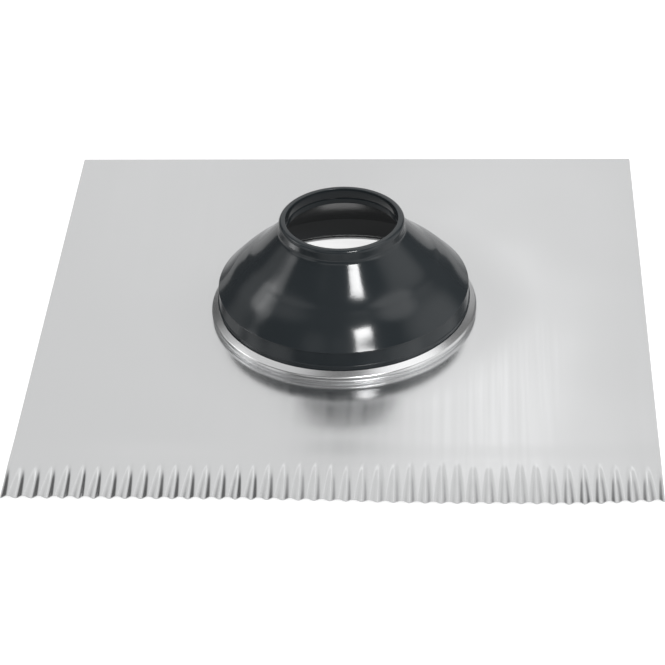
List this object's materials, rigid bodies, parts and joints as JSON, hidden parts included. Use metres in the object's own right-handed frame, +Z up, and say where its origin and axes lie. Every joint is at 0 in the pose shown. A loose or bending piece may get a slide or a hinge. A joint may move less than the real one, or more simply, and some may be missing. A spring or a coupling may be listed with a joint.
{
  "type": "pipe flashing boot",
  "caption": "Square aluminium flashing sheet with a crimped low edge and a rolled ring holding a conical rubber boot for a round pipe.",
  "frame": {"origin": "middle of the sheet's underside", "axes": "+Z up, away from the roof; the crimped low edge faces -Y; the pipe runs along +Z"},
  "size_m": [0.5, 0.5, 0.0891],
  "materials": {
    "aluminium": "bright rolled sheet, mill finish",
    "rubber": "satin moulded EPDM"
  },
  "bodies": {
    "root": {"base_plate": "aluminium", "rubber_boot": "rubber"}
  },
  "joints": []
}
